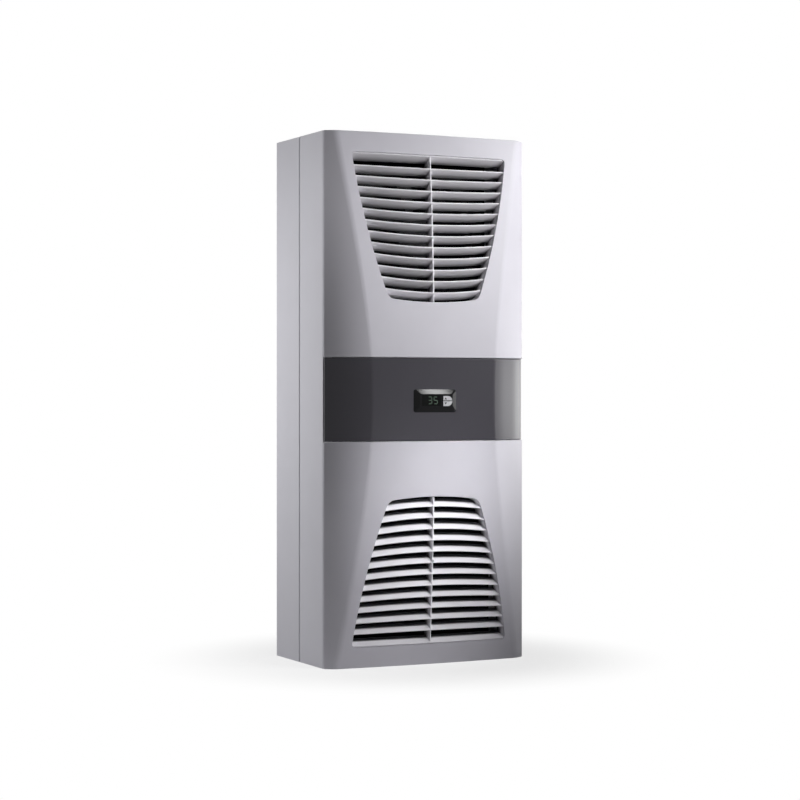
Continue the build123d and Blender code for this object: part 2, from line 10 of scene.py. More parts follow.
import bpy
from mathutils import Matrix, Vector


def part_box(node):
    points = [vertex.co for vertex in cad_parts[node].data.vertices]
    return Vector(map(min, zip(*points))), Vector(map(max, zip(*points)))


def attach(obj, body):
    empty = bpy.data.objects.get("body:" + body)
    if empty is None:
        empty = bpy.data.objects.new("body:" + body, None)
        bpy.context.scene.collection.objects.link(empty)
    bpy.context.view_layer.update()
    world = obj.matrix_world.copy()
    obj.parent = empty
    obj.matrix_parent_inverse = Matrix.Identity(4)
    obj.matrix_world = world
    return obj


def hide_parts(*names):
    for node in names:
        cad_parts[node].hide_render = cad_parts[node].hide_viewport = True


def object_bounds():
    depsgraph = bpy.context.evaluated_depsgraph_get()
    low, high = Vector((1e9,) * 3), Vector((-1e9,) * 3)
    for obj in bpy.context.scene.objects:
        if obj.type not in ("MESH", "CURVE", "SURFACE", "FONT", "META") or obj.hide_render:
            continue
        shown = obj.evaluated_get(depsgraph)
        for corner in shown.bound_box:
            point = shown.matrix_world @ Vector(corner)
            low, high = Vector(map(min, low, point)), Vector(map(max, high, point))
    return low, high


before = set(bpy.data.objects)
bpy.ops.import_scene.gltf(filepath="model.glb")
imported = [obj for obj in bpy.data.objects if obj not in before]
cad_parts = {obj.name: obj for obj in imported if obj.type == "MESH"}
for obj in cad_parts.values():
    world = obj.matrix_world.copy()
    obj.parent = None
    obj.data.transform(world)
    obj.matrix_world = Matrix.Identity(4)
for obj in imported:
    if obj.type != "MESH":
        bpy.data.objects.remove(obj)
cad_low, cad_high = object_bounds()

bl_info = {
    "name": "Enclosure cooling unit",
    "version": (1, 0, 0),
    "blender": (4, 5, 0),
    "location": "View3D > Sidebar > Cooling unit",
    "description": "Dresses the packed cooling unit and sets up its studio",
    "category": "Object",
}

MM = 0.001
BODY = "root"
# Size of the clouds in the faint mottle that every finish has
MOTTLE_SIZE = 60 * MM
# Segments of a digit that are lit, named a to f clockwise from the top, with g in the middle
LIT = {"3": "abgcd", "5": "afgcd"}


def linear(hex_code):
    """Turns an sRGB hex value into a linear colour."""
    shares = [int(hex_code[start : start + 2], 16) / 255 for start in (1, 3, 5)]
    return [s / 12.92 if s <= 0.04045 else ((s + 0.055) / 1.055) ** 2.4 for s in shares]


def colour(name, description, hex_code):
    """Colour property with its default given as an sRGB hex value."""
    return bpy.props.FloatVectorProperty(
        name=name, description=description, subtype="COLOR", size=3, min=0, max=1,
        default=linear(hex_code),
    )


def length(name, description, millimetres):
    """Length property with its default given in millimetres."""
    return bpy.props.FloatProperty(
        name=name, description=description, unit="LENGTH", subtype="DISTANCE", min=0,
        default=millimetres * MM, precision=5,
    )


def number(name, description, count):
    """Property that counts pieces."""
    return bpy.props.IntProperty(name=name, description=description, default=count, min=1)


def share(name, description, part):
    """Property without a unit, such as a share of another size."""
    return bpy.props.FloatProperty(
        name=name, description=description, subtype="FACTOR", default=part, min=0, soft_max=2
    )


def power(name, description, watts):
    """Power of a lamp."""
    return bpy.props.FloatProperty(
        name=name, description=description, unit="POWER", default=watts, min=0
    )


class FinishSettings(bpy.types.PropertyGroup):
    """Colours of the finishes."""

    powder_coat: colour("Powder coat", "Sheet steel of the chassis and the hood", "#C9C8CF")
    moulding: colour("Moulding", "Front covers", "#C9C7CF")
    # Paler than the covers' grey, as painted light that brightens the lit fin faces.
    grille: colour("Grille", "Louvred grilles", "#F0EEF3")
    # Colour of the painted shade deep between the fins of the grilles.
    depth_shade: colour("Dust", "Dust deep between the fins", "#1E1E20")
    band: colour("Band", "Dark panel across the middle", "#38363D")
    bezel: colour("Bezel", "Case of the controller", "#131315")
    window: colour("Window", "Smoked display window", "#050706")
    digit: colour("Digit", "Lit segments of the display", "#3F4D42")
    key: colour("Key", "Keys of the controller", "#B8B8BC")
    key_mark: colour("Key mark", "Arrows and the line between the keys", "#3A3A3D")
    zinc: colour("Zinc", "Zinc plated steel", "#B4B7BA")
    aluminium: colour("Aluminium", "Coil fins", "#C8CACC")
    fan: colour("Fan", "Fan frames, rotors, bulkhead and coated fins", "#141416")
    foam: colour("Foam", "Seal between the chassis and the hood", "#0C0C0D")
    terminal: colour("Terminal", "Connection socket", "#3A3C3E")
    brass: colour("Brass", "Contact pins", "#C7A25A")


class DetailSettings(bpy.types.PropertyGroup):
    """Sizes of the small pieces, and the reach of the dust."""

    front_place: bpy.props.FloatProperty(
        name="Front", description="Place of the front's middle along the depth",
        unit="LENGTH", subtype="DISTANCE", default=-125.5 * MM, precision=5,
    )
    bow_across: length("Bow across", "Fall of the bowed front at the sides", 8.3)
    bow_up: length("Bow up", "Fall of the bowed front at the top and the bottom", 21.1)
    # These five settings place the painted shade between the fins. It starts nearer the front on
    # downward faces than on upward ones.
    under_start: length("Under start", "Depth where the dust on downward faces starts", 3.0)
    under_end: length("Under end", "Depth where the dust on downward faces is full", 30.0)
    upper_start: length("Upper start", "Depth where the dust on upward faces starts", 12.0)
    upper_end: length("Upper end", "Depth where the dust on upward faces is full", 17.0)
    depth_shade_share: share("Dust share", "How far full dust covers the grey", 0.9)
    screw_radius: length("Screw radius", "Radius of a screw's head", 2.7)
    screw_height: length("Screw height", "Height of a screw's head", 1.6)
    screw_crown: share("Screw crown", "Top of a screw's head, over its radius", 0.78)
    recess_length: share("Recess length", "Length of a screw's cross, over its radius", 1.15)
    recess_width: share("Recess width", "Width of a screw's cross, over its radius", 0.3)
    recess_depth: share("Recess depth", "Twice the depth of a screw's cross, over its radius", 0.8)
    boss_height: length("Boss height", "Screw boss of the upper grille above the floor", 764.36)
    boss_beside: length("Boss beside", "Point on a boss's face, beside its bore", 2.0)
    leg_reach: length("Leg reach", "Fan screws from the fan's axis, across and up", 107.0)
    guard_rings: number("Guard rings", "Rings of the finger guard", 9)
    guard_spokes: number("Guard spokes", "Spokes of the finger guard", 4)
    guard_wire: length("Guard wire", "Radius of the guard's wire", 1.2)
    guard_eye: length("Guard eye", "Radius of the guard's smallest ring", 18.0)
    fin_pitch: length("Fin pitch", "Spacing of the coils' fins", 2.0)
    fin_sheet: length("Fin sheet", "Thickness of a fin", 0.3)
    end_plate: length("End plate", "Thickness of a coil's end plates", 2.0)
    end_lap: length("End lap", "How far the end plates stand past the fins", 3.0)
    tube_count: number("Tubes", "Tubes of a coil", 12)
    tube_radius: length("Tube radius", "Radius of a coil's tubes", 4.8)
    pin_count: number("Pins", "Contact pins in the socket", 7)
    pin_pitch: length("Pin pitch", "Spacing of the contact pins", 90 / 7)
    pin_radius: length("Pin radius", "Radius of a contact pin", 1.5)
    pin_length: length("Pin length", "Length of a contact pin", 8.0)
    pin_tip: share("Pin tip", "Tip of a contact pin, over its radius", 0.7)
    digit_height: length("Digit height", "Height of a digit on the display", 14.0)
    digit_width: length("Digit width", "Width of a digit on the display", 8.6)
    segment_width: length("Segment width", "Width of a digit's segment", 1.7)
    segment_gap: length("Segment gap", "Gap at each end of a segment", 0.2)
    digit_relief: length("Digit relief", "How far a digit stands out of the window", 0.05)
    digit_glow: share("Digit glow", "Strength of a segment's own light", 0.2)
    digit_gap: length("Digit gap", "Gap between the digits", 2.6)
    digit_shift: length("Digit shift", "Digits right of the window's middle", 3.4)
    arrow_size: length("Arrow size", "Height of the arrow on a key", 4.4)
    arrow_slope: share("Arrow slope", "Height of an arrow over half its width", 1.6)
    key_line: length("Key line", "Half the height of the dark line between the keys", 0.9)


class StageSettings(bpy.types.PropertyGroup):
    """Camera, lamps, world and floor."""

    lens: bpy.props.FloatProperty(
        name="Lens", description="Focal length in millimetres", unit="CAMERA",
        default=93.94, min=1,
    )
    sensor: bpy.props.FloatProperty(
        name="Sensor", description="Width of the sensor in millimetres", unit="CAMERA",
        default=36, min=1,
    )
    camera_shift: bpy.props.FloatVectorProperty(
        name="Shift", description="Shift of the picture, over its width", size=2,
        default=(-0.000625, -0.0103), precision=6,
    )
    camera_place: bpy.props.FloatVectorProperty(
        name="Camera", description="Place of the camera", subtype="TRANSLATION",
        unit="LENGTH", size=3, default=(-1.7005, -3.4462, 0.4888),
    )
    camera_turn: bpy.props.FloatProperty(
        name="Turn", description="Turn of the camera about the vertical", subtype="ANGLE",
        default=math.radians(-26.16),
    )
    key_power: power("Key", "Far lamp in front on the right", 2.2)
    low_power: power("Low", "Near lamp at the lower grille", 0.2)
    top_power: power("Top", "Near lamp at the upper right corner", 0.09)
    fin_power: power("Fins", "Low lamp in front that lights the fins from below", 0.28)
    right_power: power("Right", "Lamp at the lower right bevel", 0.12)
    left_power: power("Left", "Lamp at the upper left bevel", 0.043)
    side_power: power("Side", "Lamp beside the left side", 2.7)
    shoulder_power: power("Shoulder", "Higher lamp beside the left side", 1.5)
    glint_power: power("Glint", "Lamp above the controller, seen in gloss only", 0.36)
    bevel_power: power("Bevel", "Wide lamp at the right bevels, seen in gloss only", 2.0)
    sheen_power: power("Sheen", "Lamp beside the right edge, seen in gloss only", 1.7)
    fill: share("Fill", "Strength of the world as light", 0.02)
    floor_size: length("Floor", "Width of the floor", 12000)
    floor_tint: colour("Floor tint", "Colour of the floor as light meets it", "#F4F4F5")
    near_white: share("Near white", "Share of plain white in the floor by the unit", 0.75)
    white_start: length("White start", "Distance where the floor starts to turn white", 200)
    white_end: length("White end", "Distance where the floor is white", 500)


def add_node(tree, kind, inputs=None, **settings):
    """Adds a node to a tree, with its settings, input values and links."""
    made = tree.nodes.new(kind)
    for name, value in settings.items():
        setattr(made, name, value)
    for name, value in (inputs or {}).items():
        if isinstance(value, bpy.types.NodeSocket):
            tree.links.new(value, made.inputs[name])
        else:
            made.inputs[name].default_value = value
    return made


def maths(tree, operation, *values):
    """Result of a math node on numbers and sockets."""
    made = add_node(tree, "ShaderNodeMath", dict(enumerate(values)), operation=operation)
    return made.outputs[0]


def midway(low, high):
    """Point half way between two corners."""
    return [(a + b) / 2 for a, b in zip(low, high)]


def new_material(name):
    """Material with an empty tree."""
    material = bpy.data.materials.new(name)
    material.use_nodes = True
    material.node_tree.nodes.clear()
    return material


def grained(
    name, tint, *, grain_mm, relief_mm, roughness, spread=0.06, mottle=0.03, specular=0.5, **sockets
):
    """Finish with a fine grain in its relief and gloss and a faint mottle in its colour."""
    material = new_material(name)
    tree = material.node_tree
    place = add_node(tree, "ShaderNodeTexCoord").outputs["Object"]
    grain = add_node(
        tree, "ShaderNodeTexNoise",
        {"Vector": place, "Scale": 1 / (grain_mm * MM), "Detail": 2.0, "Roughness": 0.6},
    )
    cloud = add_node(
        tree, "ShaderNodeTexNoise",
        {"Vector": place, "Scale": 1 / MOTTLE_SIZE, "Detail": 3.0, "Roughness": 0.5},
    )
    shade = add_node(
        tree, "ShaderNodeMapRange",
        {"Value": cloud.outputs["Fac"], "To Min": 1 - mottle, "To Max": 1 + mottle},
    )
    tinted = add_node(
        tree, "ShaderNodeVectorMath",
        {0: tint, "Scale": shade.outputs["Result"]}, operation="SCALE",
    )
    gloss = add_node(
        tree, "ShaderNodeMapRange",
        {
            "Value": grain.outputs["Fac"],
            "To Min": roughness - spread,
            "To Max": roughness + spread,
        },
    )
    relief = add_node(
        tree, "ShaderNodeBump",
        {"Height": grain.outputs["Fac"], "Distance": relief_mm * MM, "Strength": 1.0},
    )
    surface = add_node(
        tree, "ShaderNodeBsdfPrincipled",
        {
            "Base Color": tinted.outputs["Vector"],
            "Roughness": gloss.outputs["Result"],
            "Normal": relief.outputs["Normal"],
            "Specular IOR Level": specular,
            **sockets,
        },
    )
    add_node(tree, "ShaderNodeOutputMaterial", {"Surface": surface.outputs["BSDF"]})
    return material


def overlay(material, mask, tint):
    """Lays a colour over a finish as far as a mask says."""
    tree = material.node_tree
    base = tree.nodes["Principled BSDF"].inputs["Base Color"]
    mixed = add_node(
        tree, "ShaderNodeMixRGB",
        {"Fac": mask, "Color1": base.links[0].from_socket, "Color2": (*tint, 1)},
    )
    tree.links.new(mixed.outputs["Color"], base)


def dress(material, *nodes):
    """Gives CAD nodes a finish in place of the one they came with."""
    for name in nodes:
        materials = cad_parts[name].data.materials
        materials.clear()
        materials.append(material)


def mesh_piece(name, mesh):
    """Piece that rides on the unit."""
    piece = bpy.data.objects.new(name, mesh)
    bpy.context.scene.collection.objects.link(piece)
    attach(piece, BODY)
    return piece


def open_tree(name, **inputs):
    """Geometry Nodes tree with named inputs, and the sockets that give them."""
    tree = bpy.data.node_groups.new(name, "GeometryNodeTree")
    tree.interface.new_socket("shape", in_out="OUTPUT", socket_type="NodeSocketGeometry")
    for label, kind in inputs.items():
        tree.interface.new_socket(label, in_out="INPUT", socket_type=f"NodeSocket{kind}")
    return tree, add_node(tree, "NodeGroupInput").outputs


def close_tree(tree, shape, material):
    """Ends a tree with realised instances in one finish."""
    real = add_node(tree, "GeometryNodeRealizeInstances", {"Geometry": shape})
    coated = add_node(
        tree, "GeometryNodeSetMaterial", {"Geometry": real.outputs[0], "Material": material}
    )
    add_node(tree, "NodeGroupOutput", {"shape": coated.outputs[0]})


def grow(name, tree, slot, points=(), **values):
    """Piece made by a Geometry Nodes tree on points and kept as a plain mesh."""
    seed = bpy.data.meshes.new(name)
    seed.from_pydata(list(points), [], [])
    grower = bpy.data.objects.new(name, seed)
    bpy.context.scene.collection.objects.link(grower)
    modifier = grower.modifiers.new(name, "NODES")
    modifier.node_group = tree
    for item in tree.interface.items_tree:
        if item.name in values:
            modifier[item.identifier] = values[item.name]
    graph = bpy.context.evaluated_depsgraph_get()
    mesh = bpy.data.meshes.new_from_object(grower.evaluated_get(graph), depsgraph=graph)
    bpy.data.objects.remove(grower)
    return mesh_piece(name, mesh)


def line_up(tree, shape, count, first, step, **inputs):
    """Copies of a shape in a straight row."""
    row = add_node(
        tree, "GeometryNodeMeshLine", {"Count": count, "Start Location": first, "Offset": step}
    )
    inputs.update(Points=row.outputs[0], Instance=shape)
    return add_node(tree, "GeometryNodeInstanceOnPoints", inputs).outputs[0]


def surface_at(node, x, z, from_rear=False):
    """Where a line along the depth first meets a CAD node."""
    side = 1 if from_rear else -1
    hit, place, _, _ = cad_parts[node].ray_cast((x, side, z), (0, -side, 0))
    if not hit:
        raise RuntimeError(f"no surface of {node} at {x}, {z}")
    return place


class COOLER_OT_sheet_metal(bpy.types.Operator):
    """Finishes of the chassis, the hood, the bulkhead and the seal in the seam"""

    bl_idname = "cooler.sheet_metal"
    bl_label = "Sheet metal"

    def execute(self, context):
        finish = context.scene.cooler_finish
        # Polyester powder coat on sheet steel: satin, with the shallow orange peel of a
        # sprayed and baked film, which breaks the reflections up a little.
        coat = grained(
            "light_grey_polyester_powder_coat", finish.powder_coat,
            grain_mm=1.6, relief_mm=0.02, roughness=0.5, specular=0.2,
        )
        dress(
            coat, "chassis_back_panel", "chassis_left_wall", "chassis_right_wall",
            "chassis_top", "chassis_base", "hood_left_side", "hood_right_side",
            "hood_top", "hood_bottom",
        )
        # Black dip coat on the sheet inside: dull, so that the inside stays dark.
        coated = grained(
            "black_dip_coated_steel", finish.fan,
            grain_mm=2.0, relief_mm=0.02, roughness=0.7, specular=0.1,
        )
        dress(coated, "bulkhead")
        # Closed-cell foam in the seam: matte black, so that the seam reads as a dark line.
        foam = grained(
            "black_closed_cell_foam", finish.foam,
            grain_mm=1.5, relief_mm=0.1, roughness=0.9, specular=0.1,
        )
        dress(foam, "seam_seal")
        return {"FINISHED"}


class COOLER_OT_front(bpy.types.Operator):
    """Mouldings of the front: covers, grilles and the dark band"""

    bl_idname = "cooler.front"
    bl_label = "Front mouldings"

    def execute(self, context):
        finish = context.scene.cooler_finish
        # Moulded ABS with a fine spark-eroded grain: satin and even.
        light = grained(
            "light_grey_moulded_abs", finish.moulding,
            grain_mm=0.9, relief_mm=0.012, roughness=0.45, specular=0.2,
        )
        dress(light, "upper_front_cover", "lower_front_cover")
        # The grilles get a paler grey than the covers: painted light that brightens the lit faces
        # of the fins and shows their narrow edges as bright lines.
        pale = grained(
            "pale_grey_moulded_abs", finish.grille,
            grain_mm=0.9, relief_mm=0.008, roughness=0.42, specular=0.2,
        )
        # Painted shade darkens the grilles deep between their fins.
        self.paint_depth_shade(pale, finish, context.scene.cooler_detail)
        dress(pale, "upper_grille", "lower_grille")
        # The band is the same plastic in dark grey, a little smoother.
        dark = grained(
            "dark_grey_moulded_abs", finish.band,
            grain_mm=0.9, relief_mm=0.006, roughness=0.3, specular=0.25,
        )
        dress(dark, "centre_panel")
        return {"FINISHED"}

    def paint_depth_shade(self, material, finish, detail):
        """Painted shade between the fins, darker with the depth behind the bowed front, and
        starting at a depth set by the way a face looks.
        """
        tree = material.node_tree
        given = add_node(tree, "ShaderNodeTexCoord").outputs
        place = given["Object"]
        middle = (0, detail.front_place, midway(cad_low, cad_high)[2])
        offset = add_node(
            tree, "ShaderNodeVectorMath", {0: place, 1: middle}, operation="SUBTRACT"
        ).outputs["Vector"]
        bows = (-detail.bow_across / cad_high[0] ** 2, 0, -detail.bow_up / middle[2] ** 2)
        scaled = add_node(
            tree, "ShaderNodeVectorMath", {0: offset, 1: bows}, operation="MULTIPLY"
        )
        fall = add_node(
            tree, "ShaderNodeVectorMath", {0: scaled.outputs["Vector"], 1: offset},
            operation="DOT_PRODUCT",
        )
        axes = add_node(tree, "ShaderNodeSeparateXYZ", {0: offset}).outputs
        depth = maths(tree, "ADD", axes["Y"], fall.outputs["Value"])
        normal = add_node(tree, "ShaderNodeSeparateXYZ", {0: given["Normal"]}).outputs
        ends = [
            add_node(
                tree, "ShaderNodeMapRange",
                {"Value": normal["Z"], "From Min": -1.0, "To Min": under, "To Max": upper},
            ).outputs["Result"]
            for under, upper in (
                (detail.under_start, detail.upper_start), (detail.under_end, detail.upper_end)
            )
        ]
        # Painted shade, full at the far end of the depth range.
        depth_shade = add_node(
            tree, "ShaderNodeMapRange",
            {
                "Value": depth, "From Min": ends[0], "From Max": ends[1],
                "To Max": detail.depth_shade_share,
            },
            interpolation_type="SMOOTHSTEP",
        )
        overlay(material, depth_shade.outputs["Result"], finish.depth_shade)


class COOLER_OT_controller(bpy.types.Operator):
    """Finishes of the controller, the digits on its display and the arrows on its keys"""

    bl_idname = "cooler.controller"
    bl_label = "Controller"

    def execute(self, context):
        finish = context.scene.cooler_finish
        detail = context.scene.cooler_detail
        # Black moulded ABS of the bezel and the drain, smooth enough that chamfers catch the lamps.
        black = grained(
            "black_moulded_abs", finish.bezel,
            grain_mm=0.7, relief_mm=0.001, roughness=0.08, spread=0.02, specular=0.1,
        )
        dress(black, "controller_bezel", "condensate_drain")
        # Smoked acrylic over the display: nearly black, with a clear gloss.
        glass = grained(
            "smoked_acrylic", finish.window,
            grain_mm=2.0, relief_mm=0.0005, roughness=0.1, spread=0.02, mottle=0.02, specular=0.1,
        )
        dress(glass, "display_window")
        dress(self.key_paint(finish, detail), "up_key", "down_key", "set_key")
        self.make_digits(finish, detail)
        return {"FINISHED"}

    def key_paint(self, finish, detail):
        """Silver paint on the keys, with a dark arrow printed on the up and the down key."""
        # Painted ABS keys: satin silver grey, with a faint grain from the spray.
        paint = grained(
            "silver_painted_abs", finish.key,
            grain_mm=0.8, relief_mm=0.006, roughness=0.38, IOR=1.5,
        )
        tree = paint.node_tree
        place = add_node(tree, "ShaderNodeTexCoord").outputs["Object"]
        axes = add_node(tree, "ShaderNodeSeparateXYZ", {0: place}).outputs
        half = detail.arrow_size / 2
        for name, way in (("up_key", 1), ("down_key", -1)):
            low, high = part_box(name)
            middle = midway(low, high)
            spread = maths(tree, "ABSOLUTE", maths(tree, "SUBTRACT", axes["X"], middle[0]))
            up = maths(tree, "MULTIPLY_ADD", axes["Z"], way, -way * middle[2])
            above = maths(tree, "GREATER_THAN", up, -half)
            slope = maths(tree, "MULTIPLY_ADD", spread, detail.arrow_slope, up)
            within = maths(tree, "LESS_THAN", slope, half)
            overlay(paint, maths(tree, "MULTIPLY", above, within), finish.key_mark)
        # The gap between the keys is drawn wider than its 0.6 mm, which is too fine to show.
        level = maths(tree, "SUBTRACT", axes["Z"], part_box("up_key")[0][2])
        apart = maths(tree, "ABSOLUTE", level)
        overlay(paint, maths(tree, "LESS_THAN", apart, detail.key_line), finish.key_mark)
        return paint

    def make_digits(self, finish, detail):
        """Lit segments of two digits, on the face of the window."""
        low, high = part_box("display_window")
        middle_x, _, middle_z = midway(low, high)
        middle_x += detail.digit_shift
        step = (detail.digit_width + detail.digit_gap) / 2
        half = detail.segment_width / 2
        points, faces = [], []
        for digit, side in (("3", -1), ("5", 1)):
            for name in LIT[digit]:
                (shift_x, shift_z), upright, reach = self.segment(name, detail)
                outline = [
                    (-reach, 0), (half - reach, -half), (reach - half, -half),
                    (reach, 0), (reach - half, half), (half - reach, half),
                ]
                first, count = len(points), len(outline)
                for y in (low[1] - detail.digit_relief, low[1] + detail.digit_relief):
                    for along, across in outline:
                        x, z = (-across, along) if upright else (along, across)
                        points.append(
                            (middle_x + side * step + shift_x + x, y, middle_z + shift_z + z)
                        )
                front = [first + i for i in range(count)]
                back = [i + count for i in front]
                faces += [front, back[::-1]]
                for i in range(count):
                    j = (i + 1) % count
                    faces.append([front[j], front[i], back[i], back[j]])
        mesh = bpy.data.meshes.new("display_digits")
        mesh.from_pydata(points, [], faces)
        # Segments of the display seen through the smoked window: a dim grey green.
        lit = grained(
            "lit_display_segments", finish.digit,
            grain_mm=0.5, relief_mm=0.001, roughness=0.5, specular=0.1,
            **{"Emission Color": (*finish.digit, 1), "Emission Strength": detail.digit_glow},
        )
        mesh.materials.append(lit)
        mesh_piece("display_digits", mesh)

    def segment(self, name, detail):
        """Centre of a segment, whether it stands upright, and half its length."""
        half_width = (detail.digit_width - detail.segment_width) / 2
        half_height = (detail.digit_height - detail.segment_width) / 2
        if name in "agd":
            level = {"a": half_height, "g": 0, "d": -half_height}[name]
            return (0, level), False, half_width - detail.segment_gap
        side = half_width if name in "bc" else -half_width
        level = half_height / 2 if name in "bf" else -half_height / 2
        return (side, level), True, half_height / 2 - detail.segment_gap


class COOLER_OT_screws(bpy.types.Operator):
    """Cross-recessed screws in the grilles and on the evaporator fan"""

    bl_idname = "cooler.screws"
    bl_label = "Screws"

    def execute(self, context):
        detail = context.scene.cooler_detail
        # Zinc plated steel: bright and slightly cloudy.
        zinc = grained(
            "zinc_plated_steel", context.scene.cooler_finish.zinc,
            grain_mm=3.0, relief_mm=0.004, roughness=0.3, spread=0.08, mottle=0.06, Metallic=1.0,
        )
        dress(zinc, "mounting_nuts")
        tree = self.screw_tree(zinc, detail)
        sizes = {"radius": detail.screw_radius, "height": detail.screw_height}
        bosses = []
        for node, z in (
            ("upper_grille", detail.boss_height),
            ("lower_grille", cad_low[2] + cad_high[2] - detail.boss_height),
        ):
            bosses.append((0, surface_at(node, detail.boss_beside, z)[1], z))
        turn = (math.pi / 2, 0, 0)
        grow("grille_screws", tree, "zinc_plated_steel", bosses, turn=turn, **sizes)
        low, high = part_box("evaporator_fan_frame")
        legs = []
        for x in (-detail.leg_reach, detail.leg_reach):
            for up in (-detail.leg_reach, detail.leg_reach):
                z = midway(low, high)[2] + up
                legs.append((x, surface_at("evaporator_fan_frame", x, z, True)[1], z))
        turn = (-math.pi / 2, 0, 0)
        grow("fan_screws", tree, "zinc_plated_steel", legs, turn=turn, **sizes)
        return {"FINISHED"}

    def screw_tree(self, material, detail):
        """Tapered heads with a cross cut into them, on points, turned one way."""
        tree, given = open_tree(
            "cross_recessed_screw",
            points="Geometry", radius="Float", height="Float", turn="Vector",
        )
        crown = maths(tree, "MULTIPLY", given["radius"], detail.screw_crown)
        head = add_node(
            tree, "GeometryNodeMeshCone",
            {
                "Vertices": 24, "Radius Top": crown,
                "Radius Bottom": given["radius"], "Depth": given["height"],
            },
        )
        cut = add_node(
            tree, "GeometryNodeMeshBoolean", {"Mesh 1": head.outputs[0]}, operation="DIFFERENCE"
        )
        lift = add_node(tree, "ShaderNodeCombineXYZ", {"Z": given["height"]})
        along, across = detail.recess_length, detail.recess_width
        for share_x, share_y in ((along, across), (across, along)):
            size = add_node(
                tree, "ShaderNodeVectorMath",
                {0: (share_x, share_y, detail.recess_depth), "Scale": given["radius"]},
                operation="SCALE",
            )
            bar = add_node(tree, "GeometryNodeMeshCube", {"Size": size.outputs[0]})
            cutter = add_node(
                tree, "GeometryNodeTransform",
                {"Geometry": bar.outputs[0], "Translation": lift.outputs[0]},
            )
            tree.links.new(cutter.outputs[0], cut.inputs["Mesh 2"])
        placed = add_node(
            tree, "GeometryNodeInstanceOnPoints",
            {"Points": given["points"], "Instance": cut.outputs[0], "Rotation": given["turn"]},
        )
        close_tree(tree, placed.outputs[0], material)
        return tree


class COOLER_OT_fans(bpy.types.Operator):
    """Finishes of both fans, and the wire guard on the evaporator fan"""

    bl_idname = "cooler.fans"
    bl_label = "Fans"

    def execute(self, context):
        finish = context.scene.cooler_finish
        detail = context.scene.cooler_detail
        # Black coated aluminium casting: dull, with a fine sandy skin.
        casting = grained(
            "black_coated_casting", finish.fan,
            grain_mm=1.2, relief_mm=0.02, roughness=0.7, specular=0.1,
        )
        dress(casting, "condenser_fan_frame", "evaporator_fan_frame")
        # Glass-filled nylon blades: black and dull, with a fine grain.
        blades = grained(
            "black_glass_filled_nylon", finish.fan,
            grain_mm=0.8, relief_mm=0.01, roughness=0.6, specular=0.1,
        )
        dress(blades, "condenser_fan_rotor", "evaporator_fan_rotor")
        # Bright zinc on round wire: a thin light line along each ring.
        wire = grained(
            "zinc_plated_wire", finish.zinc,
            grain_mm=2.0, relief_mm=0.004, roughness=0.28, mottle=0.05, Metallic=1.0,
        )
        low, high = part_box("evaporator_fan_guard")
        guard = grow(
            "wire_finger_guard", self.guard_tree(wire), "zinc_plated_steel",
            rings=detail.guard_rings, spokes=detail.guard_spokes, eye=detail.guard_eye,
            reach=(high[0] - low[0]) / 2 - detail.guard_wire, wire=detail.guard_wire,
            centre=midway(low, high),
        )
        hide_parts("evaporator_fan_guard")
        return {"FINISHED"}

    def guard_tree(self, material):
        """Rings of round wire on spokes, about an axis along the depth."""
        tree, given = open_tree(
            "wire_guard",
            rings="Int", spokes="Int", eye="Float", reach="Float", wire="Float", centre="Vector",
        )
        index = add_node(tree, "GeometryNodeInputIndex").outputs[0]
        last = maths(tree, "SUBTRACT", given["rings"], 1)
        radius = add_node(
            tree, "ShaderNodeMapRange",
            {
                "Value": index, "From Max": last,
                "To Min": given["eye"], "To Max": given["reach"],
            },
        )
        hoop = add_node(
            tree, "GeometryNodeCurvePrimitiveCircle", {"Resolution": 64, "Radius": 1.0}
        )
        spots = add_node(
            tree, "GeometryNodeMeshLine", {"Count": given["rings"], "Offset": (0, 0, 0)}
        )
        hoops = add_node(
            tree, "GeometryNodeInstanceOnPoints",
            {
                "Points": spots.outputs[0], "Instance": hoop.outputs[0],
                "Scale": radius.outputs["Result"],
            },
        )
        start = add_node(tree, "ShaderNodeCombineXYZ", {"X": given["eye"]})
        end = add_node(tree, "ShaderNodeCombineXYZ", {"X": given["reach"]})
        arm = add_node(
            tree, "GeometryNodeCurvePrimitiveLine",
            {"Start": start.outputs[0], "End": end.outputs[0]},
        )
        # The first spoke lies at 45 degrees, towards a leg of the frame.
        first_angle = math.pi / 4
        step = maths(tree, "DIVIDE", math.tau, given["spokes"])
        angle = maths(tree, "MULTIPLY_ADD", index, step, first_angle)
        turn = add_node(tree, "ShaderNodeCombineXYZ", {"Z": angle})
        hubs = add_node(
            tree, "GeometryNodeMeshLine", {"Count": given["spokes"], "Offset": (0, 0, 0)}
        )
        arms = add_node(
            tree, "GeometryNodeInstanceOnPoints",
            {"Points": hubs.outputs[0], "Instance": arm.outputs[0], "Rotation": turn.outputs[0]},
        )
        both = add_node(tree, "GeometryNodeJoinGeometry")
        for part in (hoops, arms):
            tree.links.new(part.outputs[0], both.inputs[0])
        lines = add_node(tree, "GeometryNodeRealizeInstances", {"Geometry": both.outputs[0]})
        section = add_node(
            tree, "GeometryNodeCurvePrimitiveCircle", {"Resolution": 8, "Radius": given["wire"]}
        )
        wires = add_node(
            tree, "GeometryNodeCurveToMesh",
            {"Curve": lines.outputs[0], "Profile Curve": section.outputs[0], "Fill Caps": True},
        )
        upright = add_node(
            tree, "GeometryNodeTransform",
            {
                "Geometry": wires.outputs[0], "Rotation": (math.pi / 2, 0, 0),
                "Translation": given["centre"],
            },
        )
        close_tree(tree, upright.outputs[0], material)
        return tree


